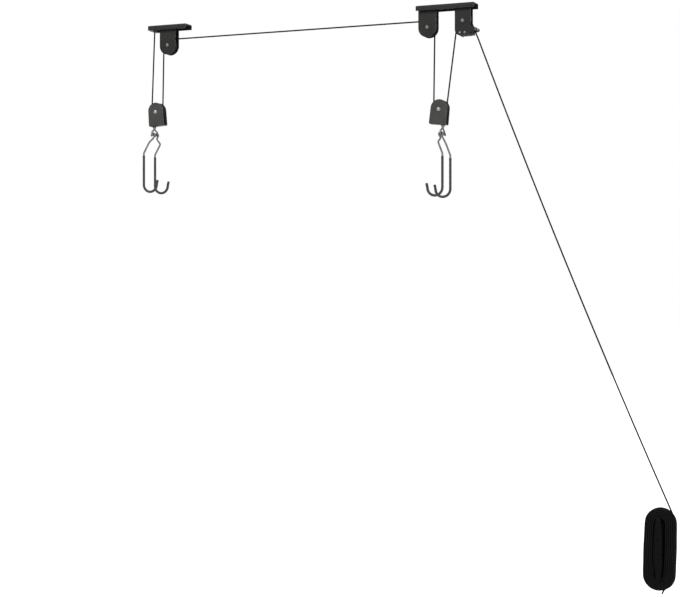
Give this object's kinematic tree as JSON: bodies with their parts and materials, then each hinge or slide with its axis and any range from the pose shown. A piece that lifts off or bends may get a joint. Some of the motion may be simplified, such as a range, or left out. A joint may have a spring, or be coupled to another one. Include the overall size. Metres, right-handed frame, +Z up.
{
  "type": "ceiling bike hoist",
  "caption": "Ceiling hoist for a bicycle: pulley brackets hold one braided rope that raises pulley blocks with rubbered hooks, with a rope lock and a wall cleat.",
  "frame": {"origin": "centre of the top face of the lock bracket's ceiling plate, on the ceiling", "axes": "+Z up into the ceiling, +X along the row of brackets from the single pulley bracket to the lock bracket, +Y towards the wall of the cleat"},
  "size_m": [1.4478, 0.069, 1.4628],
  "materials": {
    "plate_paint": "satin dark grey paint on pressed steel",
    "block_paint": "satin dark grey paint on pressed steel",
    "zinc": "bright zinc plate",
    "hook_zinc": "zinc plated wire",
    "cam_steel": "hardened steel with a zinc plate",
    "nylon": "moulded black nylon",
    "vinyl": "dipped dark grey vinyl",
    "rope": "braided black cord",
    "cleat_plastic": "moulded black plastic"
  },
  "bodies": {
    "frame_and_rope": {"left_ceiling_plate": "plate_paint", "left_pulley_housing": "plate_paint", "left_housing_rivet_a": "zinc", "left_housing_rivet_b": "zinc", "left_bracket_axle": "zinc", "left_bracket_bush": "zinc", "right_ceiling_plate": "plate_paint", "right_pulley_housing": "plate_paint", "right_housing_rivet_a": "zinc", "right_housing_rivet_b": "zinc", "right_bracket_axle": "zinc", "right_bracket_bush": "zinc", "lock_housing": "plate_paint", "lock_housing_rivet_a": "zinc", "lock_housing_rivet_b": "zinc", "lock_axle": "zinc", "lock_bush": "zinc", "cam_pivot_pin": "zinc", "cam_stop_pin": "zinc", "guide_pin": "zinc", "rope_anchor_bar": "plate_paint", "rope_end_knot": "rope", "rope_dead_strand": "rope", "rope_left_live_strand": "rope", "rope_over_brackets": "rope", "rope_right_down_strand": "rope", "rope_right_up_strand": "rope", "rope_over_lock": "rope", "rope_free_run": "rope", "rope_hank": "rope", "wall_cleat": "cleat_plastic"},
    "left_bracket_pulley": {"left_bracket_pulley": "nylon"},
    "right_bracket_pulley": {"right_bracket_pulley": "nylon"},
    "lock_pulley": {"lock_pulley": "nylon"},
    "lock_cam": {"lock_cam": "cam_steel"},
    "guide_roller": {"guide_roller": "nylon"},
    "left_lift": {"rope_left_bight": "rope"},
    "left_block": {"left_block_shell": "block_paint", "left_block_axle": "zinc", "left_block_bush": "zinc"},
    "left_block_pulley": {"left_block_pulley": "nylon"},
    "left_swivel": {"left_swivel_yoke": "zinc", "left_swivel_washer": "zinc"},
    "left_near_hook": {"left_near_hook": "hook_zinc", "left_near_hook_sleeve": "vinyl"},
    "left_far_hook": {"left_far_hook": "hook_zinc", "left_far_hook_sleeve": "vinyl"},
    "right_lift": {"rope_right_bight": "rope"},
    "right_block": {"right_block_shell": "block_paint", "right_block_axle": "zinc", "right_block_bush": "zinc"},
    "right_block_pulley": {"right_block_pulley": "nylon"},
    "right_swivel": {"right_swivel_yoke": "zinc", "right_swivel_washer": "zinc"},
    "right_near_hook": {"right_near_hook": "hook_zinc", "right_near_hook_sleeve": "vinyl"},
    "right_far_hook": {"right_far_hook": "hook_zinc", "right_far_hook_sleeve": "vinyl"}
  },
  "joints": [
    {"name": "left_lift", "type": "slide", "parent": "frame_and_rope", "child": "left_lift", "axis": [0, 0, 1], "range_m": [-1.8, 0.08], "deforming": ["rope_dead_strand", "rope_left_live_strand"]},
    {"name": "left_block_swing", "type": "hinge", "parent": "left_lift", "child": "left_block", "pos_m": [-0.8384, 0, -0.2356], "axis": [0, 1, 0], "range_deg": [-45, 45]},
    {"name": "left_block_pulley_spin", "type": "hinge", "parent": "left_lift", "child": "left_block_pulley", "pos_m": [-0.8384, 0, -0.2356], "axis": [0, 1, 0], "continuous": true},
    {"name": "left_swivel_turn", "type": "hinge", "parent": "left_block", "child": "left_swivel", "pos_m": [-0.85037, 0, -0.23644], "axis": [0.0698, 0, -0.9976], "continuous": true},
    {"name": "left_near_hook_swing", "type": "hinge", "parent": "left_swivel", "child": "left_near_hook", "pos_m": [-0.84601, 0, -0.29879], "axis": [0, 1, 0], "range_deg": [-45, 45]},
    {"name": "left_far_hook_swing", "type": "hinge", "parent": "left_swivel", "child": "left_far_hook", "pos_m": [-0.84601, 0, -0.29879], "axis": [0, 1, 0], "range_deg": [-45, 45]},
    {"name": "right_lift", "type": "slide", "parent": "frame_and_rope", "child": "right_lift", "axis": [0, 0, 1], "range_m": [-1.8, 0.08], "deforming": ["rope_right_down_strand", "rope_right_up_strand"]},
    {"name": "right_block_swing", "type": "hinge", "parent": "right_lift", "child": "right_block", "pos_m": [-0.0182, 0, -0.2655], "axis": [0, 1, 0], "range_deg": [-45, 45]},
    {"name": "right_block_pulley_spin", "type": "hinge", "parent": "right_lift", "child": "right_block_pulley", "pos_m": [-0.0182, 0, -0.2655], "axis": [0, 1, 0], "continuous": true},
    {"name": "right_swivel_turn", "type": "hinge", "parent": "right_block", "child": "right_swivel", "pos_m": [-0.00627, 0, -0.26675], "axis": [-0.1045, 0, -0.9945], "continuous": true},
    {"name": "right_near_hook_swing", "type": "hinge", "parent": "right_swivel", "child": "right_near_hook", "pos_m": [-0.0128, 0, -0.32891], "axis": [0, 1, 0], "range_deg": [-45, 45]},
    {"name": "right_far_hook_swing", "type": "hinge", "parent": "right_swivel", "child": "right_far_hook", "pos_m": [-0.0128, 0, -0.32891], "axis": [0, 1, 0], "range_deg": [-45, 45]},
    {"name": "left_bracket_pulley_spin", "type": "hinge", "parent": "frame_and_rope", "child": "left_bracket_pulley", "pos_m": [-0.8009, 0, -0.055], "axis": [0, 1, 0], "continuous": true},
    {"name": "right_bracket_pulley_spin", "type": "hinge", "parent": "frame_and_rope", "child": "right_bracket_pulley", "pos_m": [-0.0494, 0, -0.055], "axis": [0, 1, 0], "continuous": true},
    {"name": "lock_pulley_spin", "type": "hinge", "parent": "frame_and_rope", "child": "lock_pulley", "pos_m": [0.0454, 0, -0.044], "axis": [0, 1, 0], "continuous": true},
    {"name": "lock_cam_swing", "type": "hinge", "parent": "frame_and_rope", "child": "lock_cam", "pos_m": [0.0514, 0, -0.0745], "axis": [0, 1, 0], "range_deg": [0, 14]},
    {"name": "guide_roller_spin", "type": "hinge", "parent": "frame_and_rope", "child": "guide_roller", "pos_m": [0.07976, 0, -0.06846], "axis": [0, 1, 0], "continuous": true}
  ],
  "couplings": [
    {"joint": "right_lift", "follows": "left_lift", "ratio": 1},
    {"joint": "left_block_pulley_spin", "follows": "left_lift", "rad_per_m": -58.824},
    {"joint": "left_bracket_pulley_spin", "follows": "left_lift", "rad_per_m": 117.65},
    {"joint": "right_bracket_pulley_spin", "follows": "left_lift", "rad_per_m": 117.65},
    {"joint": "right_block_pulley_spin", "follows": "left_lift", "rad_per_m": -176.47},
    {"joint": "lock_pulley_spin", "follows": "left_lift", "rad_per_m": 235.29}
  ]
}
